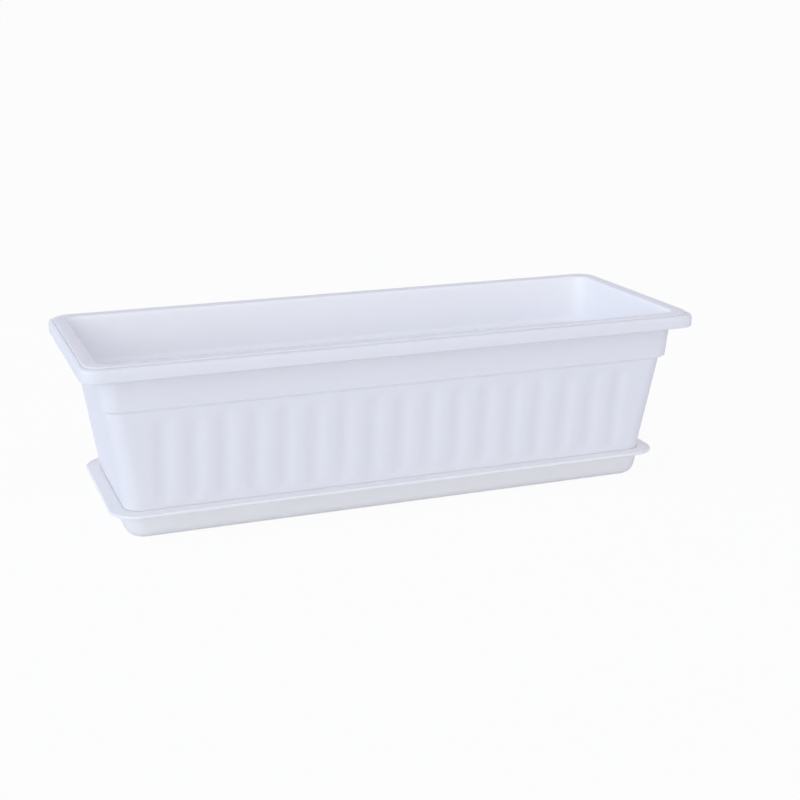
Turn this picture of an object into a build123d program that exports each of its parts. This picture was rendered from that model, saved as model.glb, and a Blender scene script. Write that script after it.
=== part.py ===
from build123d import *
import math
import os

# Rectangular trough planter standing in a loose drip tray.
# Millimetres, +Z up, X along the trough, -Y its front. The origin is under the middle of the tray.

# Overall size, with the trough standing in its tray
tray_length = 430.0       # over the tray's flange
rim_reach = 18.0          # how far the rim stands out past the flange
overall_width = 180.0     # over the rim
overall_height = 135.0

# Trough shell
wall = 1.5
floor_thickness = 1.8
body_corner = 12.0        # plan radius of the outer corners
base_round = 5.0          # outer radius between the walls and the floor

# Turned-down rim with a raised flat around the mouth
rim_depth = 10.8
rim_corner = 15.0
rim_round = 2.6           # round over the lip's top edge
rim_edge_round = 0.7      # round of the skirt's free edge
rim_overhang = 12.4       # from the collar to the lip's outer face
ridge_inset = 2.9         # from the lip's outer face to the raised flat
ridge_height = 1.2
ridge_round = 0.35
mouth_round = 3.2

# Plain collar band under the rim and the step below it
collar_height = 22.6
collar_lean = 1.9
step_height = 4.4
step_depth = 3.5

# Fluted walls
wall_draft = 7.9          # degrees
flute_pitch = 22.2
flute_width = 16.4
flute_depth = 1.3
flute_top_margin = 6.0    # plain wall between the step and the flutes
flute_foot_margin = 7.0   # plain wall between the tray's flange and the flutes
flute_end_margin = 13.0   # from the last flute's middle to the corner
flute_skin = 0.5          # how far a flute's cutter stands out of the wall

# Feet and drain holes under the floor
foot_height = 5.0
foot_diameter = 18.0
foot_margin = 10.0        # from the floor's flat edge to a foot
foot_columns = 3
foot_rows = 2
drain_diameter = 8.0
drain_columns = 4
drain_rows = 2

# Drip tray
tray_height = 22.4
tray_wall = 1.4
tray_floor = 1.6
tray_round = 9.5          # outer radius between its walls and its floor
nest_gap = 0.6            # between the trough's wall and the tray's wall
flange_thickness = 2.5
flange_corner = 20.0
flange_round = 1.1

# What follows from the sizes above
overall_length = tray_length + 2 * rim_reach
rim_bottom = overall_height - rim_depth
lip_top = overall_height - ridge_height
step_top = rim_bottom - collar_height
step_bottom = step_top - step_height
floor_bottom = tray_floor + foot_height
floor_top = floor_bottom + floor_thickness


def collar_inset(z):
    # From the lip's outer face to the collar's outer face
    return rim_overhang + collar_lean * (rim_bottom - z) / collar_height


def wall_inset(z):
    # From the lip's outer face to the fluted wall's outer face
    return collar_inset(step_top) + step_depth + (step_bottom - z) * math.tan(math.radians(wall_draft))


def tray_inset(z):
    # From the lip's outer face to the tray's inner face
    return wall_inset(z) - nest_gap


def outline(inset, z, corner):
    # Rounded rectangle at height z, set in evenly from the lip's outer face
    return Pos(0, 0, z) * RectangleRounded(overall_length - 2 * inset, overall_width - 2 * inset, corner)


def trough_body():
    # Outside of the walls and the collar, without the rim
    body = loft([
        outline(wall_inset(floor_bottom), floor_bottom, body_corner),
        outline(wall_inset(step_bottom), step_bottom, body_corner),
        outline(collar_inset(step_top), step_top, body_corner),
        outline(collar_inset(overall_height), overall_height, body_corner),
    ], ruled=True)
    return fillet(body.edges().group_by(Axis.Z)[0], base_round)


def trough_cavity():
    # Inside of the trough: the outside moved in by the wall, with its step raised to keep the wall even
    corner = body_corner - wall
    step_rise = wall * math.tan(math.atan2(step_depth, step_height) / 2)
    cavity = loft([
        outline(wall_inset(floor_top) + wall, floor_top, corner),
        outline(wall_inset(step_bottom) + wall, step_bottom + step_rise, corner),
        outline(collar_inset(step_top) + wall, step_top + step_rise, corner),
        outline(collar_inset(overall_height) + wall, overall_height, corner),
    ], ruled=True)
    return fillet(cavity.edges().group_by(Axis.Z)[0], base_round - wall)


def flute_lenses(growth):
    # Shallow round-ended grooves along the four walls; growth widens their radius
    radius = (flute_width ** 2 / 4 + flute_depth ** 2) / (2 * flute_depth)
    draft = math.radians(wall_draft)
    low = tray_height + flute_foot_margin
    high = step_bottom - flute_top_margin
    middle = (low + high) / 2
    straight = (high - low) / math.cos(draft) - flute_width
    grown = radius + growth
    capsule = Cylinder(grown, straight) + [Pos(0, 0, end) * Sphere(grown) for end in (-straight / 2, straight / 2)]
    keep = Pos(0, 2 * grown - flute_depth - flute_skin, 0) * Box(2 * grown, 2 * grown, straight + 2 * grown)
    lens = capsule & keep
    lenses = []
    for turn, across, along in ((0, overall_width, overall_length), (90, overall_length, overall_width)):
        flat = along - 2 * wall_inset(low) - 2 * body_corner
        count = int((flat - 2 * flute_end_margin) // flute_pitch) + 1
        out = across / 2 - wall_inset(middle) + (radius - flute_depth) * math.cos(draft)
        up = middle - (radius - flute_depth) * math.sin(draft)
        for side in (turn, turn + 180):
            for spot in GridLocations(flute_pitch, 0, count, 1):
                lenses.append(Rot(0, 0, side) * spot * Pos(0, -out, up) * Rot(wall_draft, 0, 0) * lens)
    return lenses


def rim():
    # Lip with its turned-down skirt, and the raised flat that carries on inwards to the mouth
    lip = extrude(outline(0, rim_bottom, rim_corner), lip_top - rim_bottom)
    lip = fillet(lip.edges().group_by(Axis.Z)[-1], rim_round)
    lip = fillet(lip.edges().group_by(Axis.Z)[0], rim_edge_round)
    channel = extrude(outline(wall, rim_bottom, rim_corner - wall), lip_top - wall - rim_bottom)
    channel = fillet(channel.edges().group_by(Axis.Z)[-1], rim_round - wall)
    ridge = extrude(outline(ridge_inset, lip_top - wall, rim_corner - ridge_inset), ridge_height + wall)
    ridge = fillet(ridge.edges().group_by(Axis.Z)[-1], ridge_round)
    return lip - channel + ridge


def floor_grid(columns, rows, span_x, span_y):
    # Even grid over the floor, columns along X
    return GridLocations(span_x / (columns - 1), span_y / (rows - 1), columns, rows)


def make_trough():
    shell = trough_body() - flute_lenses(0) + rim()
    shell -= trough_cavity() - flute_lenses(wall)
    mouth = shell.faces().sort_by(Axis.Z)[-1].inner_wires()[0]
    shell = fillet(mouth.edges(), mouth_round)
    edge = wall_inset(floor_bottom) + base_round + foot_margin + foot_diameter / 2
    foot_span_x = overall_length - 2 * edge
    foot_span_y = overall_width - 2 * edge
    feet = floor_grid(foot_columns, foot_rows, foot_span_x, foot_span_y)
    shell += [spot * Pos(0, 0, tray_floor + foot_height / 2) * Cylinder(foot_diameter / 2, foot_height) for spot in feet]
    drain_span_x = foot_span_x * (drain_columns - 1) / drain_columns
    drains = floor_grid(drain_columns, drain_rows, drain_span_x, foot_span_y / 2)
    drill = Pos(0, 0, floor_bottom + floor_thickness / 2) * Cylinder(drain_diameter / 2, 2 * floor_thickness)
    return shell - [spot * drill for spot in drains]


def make_drip_tray():
    corner = body_corner + nest_gap
    dish = loft([
        outline(tray_inset(0) - tray_wall, 0, corner + tray_wall),
        outline(tray_inset(tray_height) - tray_wall, tray_height, corner + tray_wall),
    ], ruled=True)
    dish = fillet(dish.edges().group_by(Axis.Z)[0], tray_round)
    well = loft([
        outline(tray_inset(tray_floor), tray_floor, corner),
        outline(tray_inset(tray_height), tray_height, corner),
    ], ruled=True)
    well = fillet(well.edges().group_by(Axis.Z)[0], tray_round - tray_wall)
    flange = extrude(outline(rim_reach, tray_height - flange_thickness, flange_corner), flange_thickness)
    flange = fillet(flange.edges().group_by(Axis.Z)[0] + flange.edges().group_by(Axis.Z)[-1], flange_round)
    return dish + flange - well


os.makedirs("parts", exist_ok=True)
export_step(make_trough(), "parts/trough.step")
export_step(make_drip_tray(), "parts/drip_tray.step")
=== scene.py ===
import math

import bpy
import numpy as np
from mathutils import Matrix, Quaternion, Vector


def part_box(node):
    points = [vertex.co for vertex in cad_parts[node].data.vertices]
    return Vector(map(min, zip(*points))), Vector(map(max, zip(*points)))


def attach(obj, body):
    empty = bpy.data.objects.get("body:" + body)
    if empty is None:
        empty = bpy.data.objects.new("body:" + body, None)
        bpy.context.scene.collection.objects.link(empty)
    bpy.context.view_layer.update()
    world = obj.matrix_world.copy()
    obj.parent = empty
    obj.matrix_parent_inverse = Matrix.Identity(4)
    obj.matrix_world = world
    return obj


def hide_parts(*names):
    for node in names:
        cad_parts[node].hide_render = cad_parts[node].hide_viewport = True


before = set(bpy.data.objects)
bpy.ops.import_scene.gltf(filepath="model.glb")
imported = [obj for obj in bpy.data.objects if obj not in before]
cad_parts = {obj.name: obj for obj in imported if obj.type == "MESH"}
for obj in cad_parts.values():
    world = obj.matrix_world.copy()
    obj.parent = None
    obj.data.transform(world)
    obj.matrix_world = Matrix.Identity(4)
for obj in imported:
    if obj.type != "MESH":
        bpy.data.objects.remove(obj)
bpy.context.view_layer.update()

mm = 0.001   # the settings below are in millimetres, the scene in metres


def addNode(tree, kind, links=None, **settings):
    node = tree.nodes.new(kind)
    for name, value in settings.items():
        setattr(node, name, value)
    for socket, source in (links or {}).items():
        if isinstance(source, bpy.types.NodeSocket):
            tree.links.new(source, node.inputs[socket])
        else:
            node.inputs[socket].default_value = source
    return node


def linearColour(hexValue):
    channels = [int(hexValue[k:k + 2], 16) / 255 for k in (1, 3, 5)]
    return [c / 12.92 if c <= 0.04045 else ((c + 0.055) / 1.055) ** 2.4 for c in channels] + [1.0]


# Outline around the pieces: a rounded rectangle that every profile is swept along

def pointObject(name, places):
    mesh = bpy.data.meshes.new(name)
    mesh.from_pydata(places, [], [])
    points = bpy.data.objects.new(name, mesh)
    bpy.context.scene.collection.objects.link(points)
    return points


def perimeterObject(name, longSteps, shortSteps, cornerSteps):
    # each point holds a place between the corner centres, from -1 to 1, and the direction out of the wall
    places, outward = [], []
    for side, steps in enumerate((longSteps, shortSteps, longSteps, shortSteps)):
        turn = side * math.pi / 2
        cos, sin = round(math.cos(turn)), round(math.sin(turn))
        for k in range(steps):
            along = -1 + 2 * k / steps
            places.append((along * cos + sin, along * sin - cos, 0))
            outward.append((sin, -cos, 0))
        for k in range(cornerSteps):
            angle = turn - math.pi / 2 + math.pi / 2 * k / cornerSteps
            places.append((cos + sin, sin - cos, 0))
            outward.append((math.cos(angle), math.sin(angle), 0))
    places.append(places[0])   # the last column closes on the first
    outward.append(outward[0])
    points = pointObject(name, places)
    held = points.data.attributes.new("outward", "FLOAT_VECTOR", "POINT")
    held.data.foreach_set("vector", np.array(outward, np.float32).ravel())
    return points


# Profiles of the walls, from the middle of the floor inside to the middle of the underside

leastArcSteps = 3   # around a rounded edge, and one more for each millimetre of its radius


def roundedPath(corners, wallStep):
    # corners: inset from the outline, height, plan radius, edge radius; gives inset, plan radius, height
    path = []
    for k, (inset, height, plan, edge) in enumerate(corners):
        if not edge:
            path.append((inset, plan, height))
            continue
        here = Vector((inset, height))
        before = (Vector(corners[k - 1][:2]) - here).normalized()
        after = (Vector(corners[k + 1][:2]) - here).normalized()
        half = before.angle(after) / 2
        centre = here + (before + after).normalized() * edge / math.sin(half)
        start = here + before * edge / math.tan(half) - centre
        sweep = start.angle_signed(here + after * edge / math.tan(half) - centre)
        steps = leastArcSteps + int(edge)
        for step in range(steps + 1):
            angle = math.atan2(start.y, start.x) - sweep * step / steps
            out = centre.x + edge * math.cos(angle)
            path.append((out, plan + inset - out, centre.y + edge * math.sin(angle)))
    fine = [path[0]]
    for last, point in zip(path, path[1:]):
        steps = max(1, math.ceil(abs(point[2] - last[2]) / wallStep))
        way = np.array(point) - np.array(last)
        fine += [tuple(np.array(last) + way * k / steps) for k in range(1, steps + 1)]
    return fine


def hollowRings(path, edgeInset):
    # how many profile points come before the mouth's edge, on the hollow side, which the material paints
    # lighter
    return next(k for k, point in enumerate(path) if point[0] < edgeInset)


# Geometry Nodes

mathNode, vectorNode = "ShaderNodeMath", "ShaderNodeVectorMath"
socketKinds = {
    "geometry": "NodeSocketGeometry", "length": "NodeSocketFloat", "count": "NodeSocketInt",
    "object": "NodeSocketObject", "material": "NodeSocketMaterial", "vector": "NodeSocketVector",
}
sweepInputs = {
    "Profile": "object", "Rings": "count", "Perimeter": "object", "Columns": "count",
    "Half Length": "length", "Half Width": "length", "Hollow Rings": "count",
}
mergeDistance = 0.001   # closes the seam where the last column meets the first


def newTree(name, inputs, outputs):
    tree = bpy.data.node_groups.new(name, "GeometryNodeTree")
    for socket, kind in inputs.items():
        tree.interface.new_socket(socket, in_out="INPUT", socket_type=socketKinds[kind])
    for socket, kind in outputs.items():
        tree.interface.new_socket(socket, in_out="OUTPUT", socket_type=socketKinds[kind])
    return tree, addNode(tree, "NodeGroupInput").outputs


def runTree(name, tree, values):
    piece = pointObject(name, [])
    shape = piece.modifiers.new("shape", "NODES")
    shape.node_group = tree
    for socket in tree.interface.items_tree:
        if socket.name in values:
            shape[socket.identifier] = values[socket.name]
    bpy.context.view_layer.update()
    graph = bpy.context.evaluated_depsgraph_get()
    mesh = bpy.data.meshes.new_from_object(piece.evaluated_get(graph), depsgraph=graph)
    piece.modifiers.remove(shape)
    piece.data = mesh
    mesh.name = name
    return piece


def sweepTree():
    # lays one ring of the outline at each profile point
    tree, given = newTree("roundedSweep", sweepInputs, {"Geometry": "geometry"})
    profile = addNode(tree, "GeometryNodeObjectInfo", {"Object": given["Profile"]}).outputs["Geometry"]
    perimeter = addNode(tree, "GeometryNodeObjectInfo", {"Object": given["Perimeter"]}).outputs["Geometry"]
    grid = addNode(tree, "GeometryNodeMeshGrid",
                   {"Vertices X": given["Columns"], "Vertices Y": given["Rings"]}).outputs["Mesh"]
    index = addNode(tree, "GeometryNodeInputIndex").outputs[0]
    ring = addNode(tree, mathNode, {0: index, 1: given["Rings"]}, operation="MODULO").outputs[0]
    share = addNode(tree, mathNode, {0: index, 1: given["Rings"]}, operation="DIVIDE").outputs[0]
    column = addNode(tree, mathNode, {0: share}, operation="FLOOR").outputs[0]
    position = addNode(tree, "GeometryNodeInputPosition").outputs[0]
    direction = addNode(tree, "GeometryNodeInputNamedAttribute", {"Name": "outward"},
                        data_type="FLOAT_VECTOR").outputs[0]
    section, place, outward = [
        addNode(tree, "GeometryNodeSampleIndex", {"Geometry": source, "Value": value, "Index": order},
                data_type="FLOAT_VECTOR").outputs[0]
        for source, value, order in (
            (profile, position, ring), (perimeter, position, column), (perimeter, direction, column))
    ]
    inset, plan, height = addNode(tree, "ShaderNodeSeparateXYZ", {0: section}).outputs
    back = addNode(tree, mathNode, {0: inset, 1: plan}, operation="ADD").outputs[0]
    reachX = addNode(tree, mathNode, {0: given["Half Length"], 1: back}, operation="SUBTRACT").outputs[0]
    reachY = addNode(tree, mathNode, {0: given["Half Width"], 1: back}, operation="SUBTRACT").outputs[0]
    reach = addNode(tree, "ShaderNodeCombineXYZ", {0: reachX, 1: reachY}).outputs[0]
    rise = addNode(tree, "ShaderNodeCombineXYZ", {2: height}).outputs[0]
    centre = addNode(tree, vectorNode, {0: place, 1: reach, 2: rise}, operation="MULTIPLY_ADD").outputs[0]
    arc = addNode(tree, vectorNode, {0: outward, "Scale": plan}, operation="SCALE").outputs[0]
    target = addNode(tree, vectorNode, {0: centre, 1: arc}, operation="ADD").outputs[0]
    marked = addNode(tree, "GeometryNodeStoreNamedAttribute",
                     {"Geometry": grid, "Name": "outward", "Value": outward},
                     data_type="FLOAT_VECTOR").outputs[0]
    # marks the rings on the hollow side, which the material paints lighter than the outside: painted light
    inside = addNode(tree, mathNode, {0: ring, 1: given["Hollow Rings"]}, operation="LESS_THAN").outputs[0]
    paintedLightMarked = addNode(tree, "GeometryNodeStoreNamedAttribute",
                    {"Geometry": marked, "Name": "hollow", "Value": inside}, data_type="FLOAT").outputs[0]
    placed = addNode(tree, "GeometryNodeSetPosition", {"Geometry": paintedLightMarked, "Position": target}).outputs[0]
    closed = addNode(tree, "GeometryNodeMergeByDistance",
                     {"Geometry": placed, "Distance": mergeDistance * mm}).outputs[0]
    addNode(tree, "NodeGroupOutput", {"Geometry": closed})
    return tree


def finishTree(tree, geometry, material, sharpAngle):
    # smooth faces with crisp edges, then plain geometry with its material
    angle = addNode(tree, "GeometryNodeInputMeshEdgeAngle").outputs["Unsigned Angle"]
    sharp = addNode(tree, mathNode, {0: angle, 1: math.radians(sharpAngle)},
                    operation="GREATER_THAN").outputs[0]
    smooth = addNode(tree, "GeometryNodeSetShadeSmooth", {"Geometry": geometry, "Shade Smooth": True},
                     domain="FACE").outputs[0]
    crisp = addNode(tree, "GeometryNodeSetShadeSmooth",
                    {"Geometry": smooth, "Selection": sharp, "Shade Smooth": False}, domain="EDGE").outputs[0]
    plain = addNode(tree, "GeometryNodeRealizeInstances", {"Geometry": crisp}).outputs[0]
    coloured = addNode(tree, "GeometryNodeSetMaterial", {"Geometry": plain, "Material": material}).outputs[0]
    addNode(tree, "NodeGroupOutput", {"Geometry": coloured})


# Sizes that the frame gives

troughLow, troughHigh = [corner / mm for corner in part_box("trough")]
halfLength, halfWidth, rimTop = troughHigh
trayHalfLength, trayHalfWidth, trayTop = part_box("drip_tray")[1] / mm
footBottom = troughLow.z   # the feet stand on the tray's floor


# Trough: one moulded shell with a turned-down rim, a stepped collar and fluted walls

trough = {
    "wall": 1.5, "floorThickness": 1.8, "bodyCorner": 12.0, "baseRound": 5.0,
    "rimDepth": 10.8, "rimCorner": 13.0, "rimRound": 2.9, "rimEdgeRound": 1.3,
    "rimOverhang": 12.4,   # from the collar to the rim's outer face
    "ridgeInset": 3.3, "ridgeCorner": 14.0, "ridgeHeight": 1.2, "ridgeRound": 0.35,   # raised flat on the rim
    "seamWidth": 0.3, "seamDepth": 0.5,   # fine slit at the foot of the raised flat
    "mouthRound": 3.2, "paintedLightReach": 1.0,   # the hollow's painted lighter tone comes this far over the mouth's edge
    "collarHeight": 24.4, "collarLean": 1.9, "collarRootRound": 0.8,
    "stepHeight": 2.6, "stepDepth": 3.5, "stepRound": 0.5, "wallDraft": 7.9,   # draft in degrees
    "flutePitch": 22.2, "fluteWidth": 19.0, "fluteDepth": 1.4, "flutesLong": 17, "flutesShort": 4,
    "fluteTopMargin": 2.5, "fluteFootMargin": 2.5,   # plain wall above and below the flutes
    "footHeight": 5.0, "footDiameter": 18.0, "footRound": 0.8, "footColumns": 3, "footRows": 2,
    "footMargin": 10.0, "footSunk": 0.6,   # from the floor's flat edge, and up into the floor
    "drainDiameter": 8.0, "drainColumns": 4, "drainRows": 2, "drainSides": 40,
    "stepsPerFlute": 12, "shortSteps": 60, "cornerSteps": 12, "wallStep": 2.8, "sharpAngle": 40,
}
endFacing = 0.5   # a wall that faces along X by more than this is an end wall
upFacing = 0.3    # a surface that faces up by more than this is the floor's inside

rimBottom = rimTop - trough["rimDepth"]
lipTop = rimTop - trough["ridgeHeight"]
stepTop = rimBottom - trough["collarHeight"]
stepBottom = stepTop - trough["stepHeight"]
floorBottom = footBottom + trough["footHeight"]
floorTop = floorBottom + trough["floorThickness"]


def collarInset(z):
    return trough["rimOverhang"] + trough["collarLean"] * (rimBottom - z) / trough["collarHeight"]


def wallInset(z):
    drafted = (stepBottom - z) * math.tan(math.radians(trough["wallDraft"]))
    return collarInset(stepTop) + trough["stepDepth"] + drafted


def troughProfile():
    t = trough
    wall, inner, rim = t["wall"], t["bodyCorner"] - t["wall"], t["rimCorner"]
    stepRise = wall * math.tan(math.atan2(t["stepDepth"], t["stepHeight"]) / 2)   # keeps the wall even
    channelTop = lipTop - wall
    ridge, ridgeCorner = t["ridgeInset"], t["ridgeCorner"]
    seam, seamBottom = t["seamWidth"], lipTop - t["seamDepth"]
    return roundedPath([
        (halfWidth, floorTop, 0, 0),
        (wallInset(floorTop) + wall, floorTop, inner, t["baseRound"] - wall),
        (wallInset(stepBottom) + wall, stepBottom + stepRise, inner, t["stepRound"]),
        (collarInset(stepTop) + wall, stepTop + stepRise, inner, t["stepRound"]),
        (collarInset(rimTop) + wall, rimTop, inner, t["mouthRound"]),
        (ridge, rimTop, ridgeCorner, t["ridgeRound"]),
        (ridge, seamBottom, ridgeCorner, 0),
        (ridge - seam, seamBottom, ridgeCorner + seam, 0),
        (ridge - seam, lipTop, ridgeCorner + seam, 0),
        (0, lipTop, rim, t["rimRound"]),
        (0, rimBottom, rim, t["rimEdgeRound"]),
        (wall, rimBottom, rim - wall, 0),
        (wall, channelTop, rim - wall, t["rimRound"] - wall),
        (collarInset(channelTop), channelTop, t["bodyCorner"], t["collarRootRound"]),
        (collarInset(stepTop), stepTop, t["bodyCorner"], t["stepRound"]),
        (wallInset(stepBottom), stepBottom, t["bodyCorner"], 0),
        (wallInset(floorBottom), floorBottom, t["bodyCorner"], t["baseRound"]),
        (halfWidth, floorBottom, 0, 0),
    ], t["wallStep"])


def footProfile():
    # a short round foot, sunk a little into the floor above it
    radius = trough["footDiameter"] / 2
    top = floorBottom + trough["footSunk"]
    return roundedPath([
        (radius, top, 0, 0),
        (0, top, radius, 0),
        (0, footBottom, radius, trough["footRound"]),
        (radius, footBottom, 0, 0),
    ], trough["footHeight"])


fluteInputs = {
    "Flute Pitch": "length", "Flute Half Width": "length", "Flute Depth": "length",
    "Flute Low": "length", "Flute High": "length", "Flutes Long": "count", "Flutes Short": "count",
}
footInputs = {
    "Foot Profile": "object", "Foot Rings": "count", "Foot Perimeter": "object", "Foot Columns": "count",
    "Foot Radius": "length", "Feet Along": "count", "Feet Across": "count",
    "Feet Span X": "length", "Feet Span Y": "length",
}
drainInputs = {
    "Drain Radius": "length", "Drain Sides": "count", "Drain Middle": "vector", "Drain Depth": "length",
    "Drains Along": "count", "Drains Across": "count", "Drain Span X": "length", "Drain Span Y": "length",
}


def addFlutes(tree, given, shell):
    # finds each point's nearest flute, then presses a soft dent around that flute's middle line
    outward = addNode(tree, "GeometryNodeInputNamedAttribute", {"Name": "outward"},
                      data_type="FLOAT_VECTOR").outputs[0]
    facing = addNode(tree, "ShaderNodeSeparateXYZ", {0: outward}).outputs
    sideways = addNode(tree, mathNode, {0: facing[0]}, operation="ABSOLUTE").outputs[0]
    onEnd = addNode(tree, mathNode, {0: sideways, 1: endFacing}, operation="GREATER_THAN").outputs[0]
    position = addNode(tree, "GeometryNodeInputPosition").outputs[0]
    x, y, z = addNode(tree, "ShaderNodeSeparateXYZ", {0: position}).outputs
    along = addNode(tree, "GeometryNodeSwitch", {"Switch": onEnd, "False": x, "True": y},
                    input_type="FLOAT").outputs[0]
    count = addNode(tree, "GeometryNodeSwitch",
                    {"Switch": onEnd, "False": given["Flutes Long"], "True": given["Flutes Short"]},
                    input_type="FLOAT").outputs[0]
    last = addNode(tree, mathNode, {0: count, 1: 1.0}, operation="SUBTRACT").outputs[0]
    half = addNode(tree, mathNode, {0: last, 1: 0.5}, operation="MULTIPLY").outputs[0]
    pitches = addNode(tree, mathNode, {0: along, 1: given["Flute Pitch"]}, operation="DIVIDE").outputs[0]
    order = addNode(tree, mathNode, {0: pitches, 1: half}, operation="ADD").outputs[0]
    nearest = addNode(tree, mathNode, {0: order}, operation="ROUND").outputs[0]
    kept = addNode(tree, "ShaderNodeClamp", {"Value": nearest, "Min": 0.0, "Max": last}).outputs[0]
    fromMiddle = addNode(tree, mathNode, {0: kept, 1: half}, operation="SUBTRACT").outputs[0]
    middle = addNode(tree, mathNode, {0: fromMiddle, 1: given["Flute Pitch"]},
                     operation="MULTIPLY").outputs[0]
    beside = addNode(tree, mathNode, {0: along, 1: middle}, operation="SUBTRACT").outputs[0]
    low = addNode(tree, mathNode, {0: given["Flute Low"], 1: given["Flute Half Width"]},
                  operation="ADD").outputs[0]
    high = addNode(tree, mathNode, {0: given["Flute High"], 1: given["Flute Half Width"]},
                   operation="SUBTRACT").outputs[0]
    level = addNode(tree, "ShaderNodeClamp", {"Value": z, "Min": low, "Max": high}).outputs[0]
    above = addNode(tree, mathNode, {0: z, 1: level}, operation="SUBTRACT").outputs[0]
    away = addNode(tree, "ShaderNodeCombineXYZ", {0: beside, 1: above}).outputs[0]
    distance = addNode(tree, vectorNode, {0: away}, operation="LENGTH").outputs["Value"]
    angle = addNode(tree, "ShaderNodeMapRange", {
        "Value": distance, "From Max": given["Flute Half Width"], "To Max": math.pi}).outputs[0]
    wave = addNode(tree, mathNode, {0: angle}, operation="COSINE").outputs[0]
    dent = addNode(tree, mathNode, {0: wave, 1: 0.5, 2: 0.5}, operation="MULTIPLY_ADD").outputs[0]
    depth = addNode(tree, mathNode, {0: dent, 1: given["Flute Depth"]}, operation="MULTIPLY").outputs[0]
    inward = addNode(tree, mathNode, {0: depth, 1: -1.0}, operation="MULTIPLY").outputs[0]
    push = addNode(tree, vectorNode, {0: outward, "Scale": inward}, operation="SCALE").outputs[0]
    return addNode(tree, "GeometryNodeSetPosition", {"Geometry": shell, "Offset": push}).outputs[0]


def addDrains(tree, given, shell):
    # drain holes through the floor
    drill = addNode(tree, "GeometryNodeMeshCylinder", {
        "Vertices": given["Drain Sides"], "Radius": given["Drain Radius"],
        "Depth": given["Drain Depth"]}).outputs["Mesh"]
    spots = addNode(tree, "GeometryNodeMeshGrid", {
        "Vertices X": given["Drains Along"], "Vertices Y": given["Drains Across"],
        "Size X": given["Drain Span X"], "Size Y": given["Drain Span Y"]}).outputs["Mesh"]
    lifted = addNode(tree, "GeometryNodeTransform",
                     {"Geometry": spots, "Translation": given["Drain Middle"]}).outputs[0]
    drills = addNode(tree, "GeometryNodeInstanceOnPoints", {"Points": lifted, "Instance": drill}).outputs[0]
    cutters = addNode(tree, "GeometryNodeRealizeInstances", {"Geometry": drills}).outputs[0]
    drained = addNode(tree, "GeometryNodeMeshBoolean", {"Mesh 1": shell, "Mesh 2": cutters},
                      operation="DIFFERENCE", solver="EXACT").outputs[0]

    # the floor's new points around the holes get the hollow's painted lighter tone too
    normal = addNode(tree, "GeometryNodeInputNormal").outputs[0]
    upward = addNode(tree, "ShaderNodeSeparateXYZ", {0: normal}).outputs[2]
    facesUp = addNode(tree, mathNode, {0: upward, 1: upFacing}, operation="GREATER_THAN").outputs[0]
    position = addNode(tree, "GeometryNodeInputPosition").outputs[0]
    z = addNode(tree, "ShaderNodeSeparateXYZ", {0: position}).outputs[2]
    deep = addNode(tree, mathNode, {0: z, 1: given["Flute Low"]}, operation="LESS_THAN").outputs[0]
    floorSide = addNode(tree, mathNode, {0: facesUp, 1: deep}, operation="MULTIPLY").outputs[0]
    return addNode(tree, "GeometryNodeStoreNamedAttribute",
                   {"Geometry": drained, "Selection": floorSide, "Name": "hollow", "Value": 1.0},
                   data_type="FLOAT").outputs[0]


def addFeet(tree, given, shell, sweep):
    # round feet under the floor
    foot = addNode(tree, "GeometryNodeGroup", {
        "Profile": given["Foot Profile"], "Rings": given["Foot Rings"],
        "Perimeter": given["Foot Perimeter"], "Columns": given["Foot Columns"],
        "Half Length": given["Foot Radius"], "Half Width": given["Foot Radius"],
    }, node_tree=sweep).outputs[0]
    spots = addNode(tree, "GeometryNodeMeshGrid", {
        "Vertices X": given["Feet Along"], "Vertices Y": given["Feet Across"],
        "Size X": given["Feet Span X"], "Size Y": given["Feet Span Y"]}).outputs["Mesh"]
    feet = addNode(tree, "GeometryNodeInstanceOnPoints", {"Points": spots, "Instance": foot}).outputs[0]
    realFeet = addNode(tree, "GeometryNodeRealizeInstances", {"Geometry": feet}).outputs[0]
    whole = addNode(tree, "GeometryNodeJoinGeometry")
    tree.links.new(shell, whole.inputs[0])
    tree.links.new(realFeet, whole.inputs[0])
    return whole.outputs[0]


def troughTree(sweep):
    inputs = {**sweepInputs, **fluteInputs, **footInputs, **drainInputs, "Material": "material"}
    tree, given = newTree("flutedTrough", inputs, {"Geometry": "geometry"})
    shell = addNode(tree, "GeometryNodeGroup", {name: given[name] for name in sweepInputs}, node_tree=sweep)
    fluted = addFlutes(tree, given, shell.outputs[0])
    drained = addDrains(tree, given, fluted)
    whole = addFeet(tree, given, drained, sweep)
    finishTree(tree, whole, given["Material"], trough["sharpAngle"])
    return tree


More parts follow.
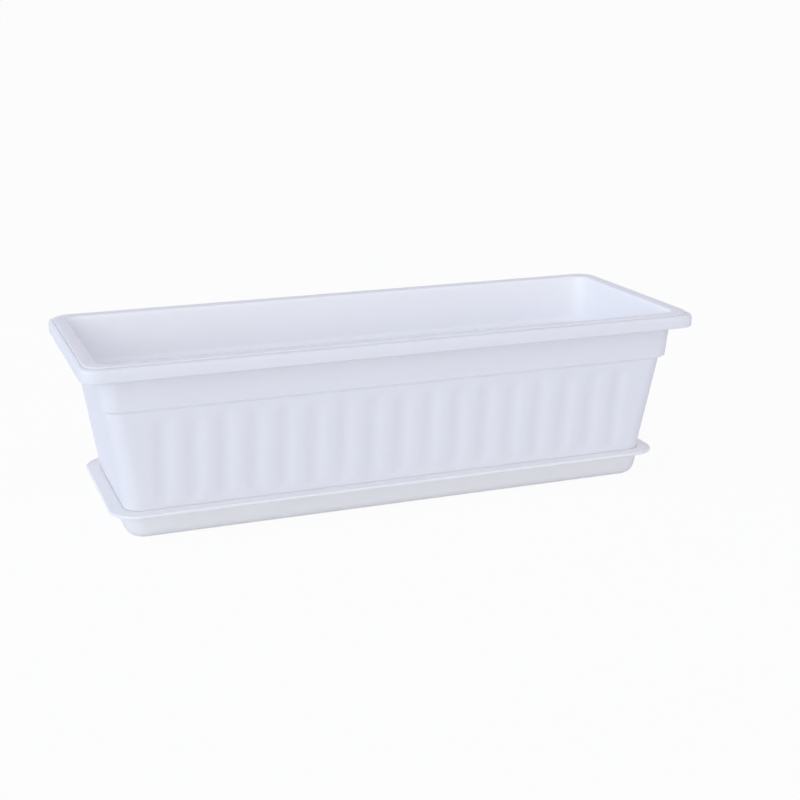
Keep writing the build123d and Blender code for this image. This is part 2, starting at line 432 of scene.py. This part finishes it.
def makeTrough(sweep, material):
    t = trough
    path = troughProfile()
    profile = pointObject("troughProfile", np.array(path) * mm)
    longSteps = round(2 * (halfLength - wallInset(stepBottom)) / t["flutePitch"] * t["stepsPerFlute"])
    perimeter = perimeterObject("troughOutline", longSteps, t["shortSteps"], t["cornerSteps"])
    foot = pointObject("footProfile", np.array(footProfile()) * mm)
    footRing = perimeterObject("footOutline", 1, 1, t["cornerSteps"])
    edge = wallInset(floorBottom) + t["baseRound"] + t["footMargin"] + t["footDiameter"] / 2
    feetX, feetY = 2 * (halfLength - edge), 2 * (halfWidth - edge)
    piece = runTree("fluted_trough", troughTree(sweep), {
        "Profile": profile, "Rings": len(profile.data.vertices),
        "Perimeter": perimeter, "Columns": len(perimeter.data.vertices),
        "Half Length": halfLength * mm, "Half Width": halfWidth * mm,
        "Hollow Rings": hollowRings(path, collarInset(rimTop) + t["wall"] - t["paintedLightReach"]),
        "Flute Pitch": t["flutePitch"] * mm, "Flute Half Width": t["fluteWidth"] / 2 * mm,
        "Flute Depth": t["fluteDepth"] * mm, "Flute Low": (trayTop + t["fluteFootMargin"]) * mm,
        "Flute High": (stepBottom - t["fluteTopMargin"]) * mm,
        "Flutes Long": t["flutesLong"], "Flutes Short": t["flutesShort"],
        "Foot Profile": foot, "Foot Rings": len(foot.data.vertices),
        "Foot Perimeter": footRing, "Foot Columns": len(footRing.data.vertices),
        "Foot Radius": t["footDiameter"] / 2 * mm,
        "Feet Along": t["footColumns"], "Feet Across": t["footRows"],
        "Feet Span X": feetX * mm, "Feet Span Y": feetY * mm,
        "Drain Radius": t["drainDiameter"] / 2 * mm, "Drain Sides": t["drainSides"],
        "Drain Middle": (0, 0, (floorBottom + floorTop) / 2 * mm),
        "Drain Depth": 2 * t["floorThickness"] * mm,
        "Drains Along": t["drainColumns"], "Drains Across": t["drainRows"],
        "Drain Span X": feetX * (t["drainColumns"] - 1) / t["drainColumns"] * mm,   # between the feet
        "Drain Span Y": feetY / 2 * mm,
        "Material": material,
    })
    for helper in (profile, perimeter, foot, footRing):
        bpy.data.objects.remove(helper)
    return piece


# Drip tray: a shallow dish with an outward flange

tray = {
    "wall": 1.4, "round": 9.5, "nestGap": 0.2, "mouthRound": 0.2,
    "paintedLightReach": 0.5,   # the hollow's painted lighter tone comes this far over the mouth's edge
    "flangeThickness": 2.5, "flangeCorner": 20.0, "flangeRound": 1.1, "flangeRootRound": 0.8,
    "longSteps": 60, "shortSteps": 24, "cornerSteps": 16, "wallStep": 6.0, "sharpAngle": 40,
}


def trayInset(z):
    # from the flange's edge to the dish's inner face
    return wallInset(z) - tray["nestGap"] - (halfLength - trayHalfLength)


def trayProfile():
    inner = trough["bodyCorner"] + tray["nestGap"]
    outer = inner + tray["wall"]
    under = trayTop - tray["flangeThickness"]
    return roundedPath([
        (trayHalfWidth, footBottom, 0, 0),
        (trayInset(footBottom), footBottom, inner, tray["round"] - tray["wall"]),
        (trayInset(trayTop), trayTop, inner, tray["mouthRound"]),
        (0, trayTop, tray["flangeCorner"], tray["flangeRound"]),
        (0, under, tray["flangeCorner"], tray["flangeRound"]),
        (trayInset(under) - tray["wall"], under, outer, tray["flangeRootRound"]),
        (trayInset(0) - tray["wall"], 0, outer, tray["round"]),
        (trayHalfWidth, 0, 0, 0),
    ], tray["wallStep"])


def makeTray(sweep, material):
    tree, given = newTree("flangedTray", {**sweepInputs, "Material": "material"}, {"Geometry": "geometry"})
    shell = addNode(tree, "GeometryNodeGroup", {name: given[name] for name in sweepInputs}, node_tree=sweep)
    finishTree(tree, shell.outputs[0], given["Material"], tray["sharpAngle"])
    path = trayProfile()
    profile = pointObject("trayProfile", np.array(path) * mm)
    perimeter = perimeterObject("trayOutline", tray["longSteps"], tray["shortSteps"], tray["cornerSteps"])
    piece = runTree("flanged_tray", tree, {
        "Profile": profile, "Rings": len(profile.data.vertices),
        "Perimeter": perimeter, "Columns": len(perimeter.data.vertices),
        "Half Length": trayHalfLength * mm, "Half Width": trayHalfWidth * mm,
        "Hollow Rings": hollowRings(path, trayInset(trayTop) - tray["paintedLightReach"]),
        "Material": material,
    })
    for helper in (profile, perimeter):
        bpy.data.objects.remove(helper)
    return piece


# White polypropylene, injection moulded against a finely spark-eroded steel:
# a satin skin with soft highlights, faint clouding where the melt flowed, and a very fine even grain

troughPlastic = {
    "darkColour": "#faf9fd", "lightColour": "#fdfcff", "cloudSize": 60.0, "cloudDetail": 3.0,
    "paintedOuterShade": 0.84,   # painted shade: outside the hollow the colour is darkened to this share, so the hollow reads lighter, standing in for light that thin white walls let through
    "grainSize": 1.1, "grainDepth": 0.05, "grainStrength": 0.35,   # really near 0.1 mm, drawn coarser to show
    "patchSize": 25.0, "fineDetail": 2.0, "roughness": 0.5, "roughnessSpread": 0.05, "ior": 1.49,
    "glow": 0.8, "glowDepth": 1.5, "glowTint": (0.9, 0.95, 1.0),
}
# the tray's outside is painted a little less dark than the trough's
trayPlastic = dict(troughPlastic, darkColour="#fcfafc", lightColour="#fffdfe", paintedOuterShade=0.87)


def polypropylene(name, settings):
    material = bpy.data.materials.new(name)
    material.use_nodes = True
    tree = material.node_tree
    shader = tree.nodes["Principled BSDF"]
    place = addNode(tree, "ShaderNodeTexCoord").outputs["Object"]
    cloud, grain, patch = [
        addNode(tree, "ShaderNodeTexNoise", {
            "Vector": place, "Scale": 1 / (settings[size] * mm), "Detail": settings[detail]}).outputs["Fac"]
        for size, detail in (
            ("cloudSize", "cloudDetail"), ("grainSize", "fineDetail"), ("patchSize", "fineDetail"))
    ]
    colour = addNode(tree, "ShaderNodeMix", {
        "Factor": cloud, 6: linearColour(settings["darkColour"]), 7: linearColour(settings["lightColour"])},
        data_type="RGBA").outputs[2]
    # painted light: rings on the hollow side keep the full colour, everything else is painted darker by the
    # open shade, standing in for light that comes through the thin walls into the hollow
    hollow = addNode(tree, "ShaderNodeAttribute", attribute_name="hollow").outputs["Fac"]
    shade = addNode(tree, "ShaderNodeMapRange", {"Value": hollow, "To Min": settings["paintedOuterShade"]}).outputs[0]
    lit = addNode(tree, vectorNode, {0: colour, "Scale": shade}, operation="SCALE").outputs[0]
    relief = addNode(tree, "ShaderNodeBump", {
        "Height": grain, "Strength": settings["grainStrength"],
        "Distance": settings["grainDepth"] * mm}).outputs[0]
    gloss = addNode(tree, "ShaderNodeMapRange", {
        "Value": patch, "To Min": settings["roughness"] - settings["roughnessSpread"],
        "To Max": settings["roughness"] + settings["roughnessSpread"]}).outputs[0]
    tree.links.new(lit, shader.inputs["Base Color"])
    tree.links.new(relief, shader.inputs["Normal"])
    tree.links.new(gloss, shader.inputs["Roughness"])
    shader.inputs["IOR"].default_value = settings["ior"]
    shader.inputs["Subsurface Weight"].default_value = settings["glow"]
    shader.inputs["Subsurface Scale"].default_value = settings["glowDepth"] * mm
    shader.inputs["Subsurface Radius"].default_value = settings["glowTint"]
    return material


# Stage, light and camera

stage = {
    "floorSize": 240.0, "floorColour": "#fcfcfd",   # so wide that its far edge lies above the picture
    "shadowShare": 0.08,   # how much of the floor's own shading shows
    "worldLevel": 0.74, "worldColour": "#eff0ff",
}
lamps = {   # places and sizes in metres, power in watts
    "left": {"place": (-6.0, -1.2, 1.4), "power": 127.0, "size": 5.0, "colour": "#d5eaff"},
    "frontLow": {"place": (-2.0, -5.8, 1.25), "power": 82.0, "size": 2.4, "colour": "#f7ffee"},
}
view = {   # degrees and millimetres, solved from the object's edges in the photograph
    "azimuth": -20.337, "elevation": 15.986, "roll": -0.32,
    "distance": 1120.57, "target": (23.098, 0.0, 64.288),
    "focalPixels": 1429.38, "imagePixels": 800, "sensorWidth": 36.0,
}
white = (1.0, 1.0, 1.0, 1.0)


def seenDirectly(tree):
    # 1 for the camera and for mirror and see-through rays
    path = addNode(tree, "ShaderNodeLightPath").outputs
    some = addNode(tree, mathNode, {0: path["Is Camera Ray"], 1: path["Is Glossy Ray"]},
                   operation="MAXIMUM").outputs[0]
    return addNode(tree, mathNode, {0: some, 1: path["Is Transmission Ray"]}, operation="MAXIMUM").outputs[0]


def makeWorld():
    world = bpy.data.worlds.new("studio")
    world.use_nodes = True
    tree = world.node_tree
    tree.nodes.clear()
    light = addNode(tree, "ShaderNodeBackground", {
        "Color": linearColour(stage["worldColour"]), "Strength": stage["worldLevel"]}).outputs[0]
    plain = addNode(tree, "ShaderNodeBackground", {"Color": white, "Strength": 1.0}).outputs[0]
    mixed = addNode(tree, "ShaderNodeMixShader", {0: seenDirectly(tree), 1: light, 2: plain}).outputs[0]
    addNode(tree, "ShaderNodeOutputWorld", {"Surface": mixed})
    bpy.context.scene.world = world


def makeFloor():
    half = stage["floorSize"] / 2
    corners = [(-half, -half, 0), (half, -half, 0), (half, half, 0), (-half, half, 0)]
    mesh = bpy.data.meshes.new("floor")
    mesh.from_pydata(corners, [], [(0, 1, 2, 3)])
    floor = bpy.data.objects.new("floor", mesh)
    bpy.context.scene.collection.objects.link(floor)
    material = bpy.data.materials.new("paleFloor")
    material.use_nodes = True
    tree = material.node_tree
    tree.nodes.clear()
    matt = addNode(tree, "ShaderNodeBsdfDiffuse", {"Color": linearColour(stage["floorColour"])}).outputs[0]
    plain = addNode(tree, "ShaderNodeEmission", {"Color": white, "Strength": 1.0}).outputs[0]
    share = addNode(tree, mathNode, {0: seenDirectly(tree), 1: 1 - stage["shadowShare"]},
                    operation="MULTIPLY").outputs[0]
    mixed = addNode(tree, "ShaderNodeMixShader", {0: share, 1: matt, 2: plain}).outputs[0]
    addNode(tree, "ShaderNodeOutputMaterial", {"Surface": mixed})
    mesh.materials.append(material)


def makeLamp(name, place, power, size, colour):
    lamp = bpy.data.lights.new(name, "AREA")
    lamp.shape = "DISK"
    lamp.size = size
    lamp.energy = power
    lamp.color = linearColour(colour)[:3]
    holder = bpy.data.objects.new(name, lamp)
    holder.location = place
    holder.rotation_euler = (-Vector(place)).to_track_quat("-Z", "Y").to_euler()
    bpy.context.scene.collection.objects.link(holder)


def makeCamera():
    camera = bpy.data.objects.new("camera", bpy.data.cameras.new("camera"))
    azimuth, elevation = math.radians(view["azimuth"]), math.radians(view["elevation"])
    level = math.cos(elevation)
    back = Vector((math.sin(azimuth) * level, -math.cos(azimuth) * level, math.sin(elevation)))
    camera.location = (Vector(view["target"]) + back * view["distance"]) * mm
    tilt = Quaternion((0, 0, 1), math.radians(view["roll"]))
    camera.rotation_euler = ((-back).to_track_quat("-Z", "Y") @ tilt).to_euler()
    camera.data.sensor_width = view["sensorWidth"]
    camera.data.lens = view["focalPixels"] / view["imagePixels"] * view["sensorWidth"]
    bpy.context.scene.collection.objects.link(camera)
    bpy.context.scene.camera = camera


bpy.context.scene.view_settings.view_transform = "Standard"
makeCamera()
makeWorld()
makeFloor()
for name, lamp in lamps.items():
    makeLamp(name, **lamp)
print("stage, light and camera set")

sweep = sweepTree()
troughPiece = makeTrough(sweep, polypropylene("troughPolypropylene", troughPlastic))
print("trough made:", len(troughPiece.data.polygons), "faces")
trayPiece = makeTray(sweep, polypropylene("trayPolypropylene", trayPlastic))
print("tray made:", len(trayPiece.data.polygons), "faces")

for piece, body, node, slot in (
    (troughPiece, "trough", "trough", "trough_plastic"),
    (trayPiece, "tray", "drip_tray", "tray_plastic"),
):
    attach(piece, body)
    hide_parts(node)

print("pieces seated on their bodies")
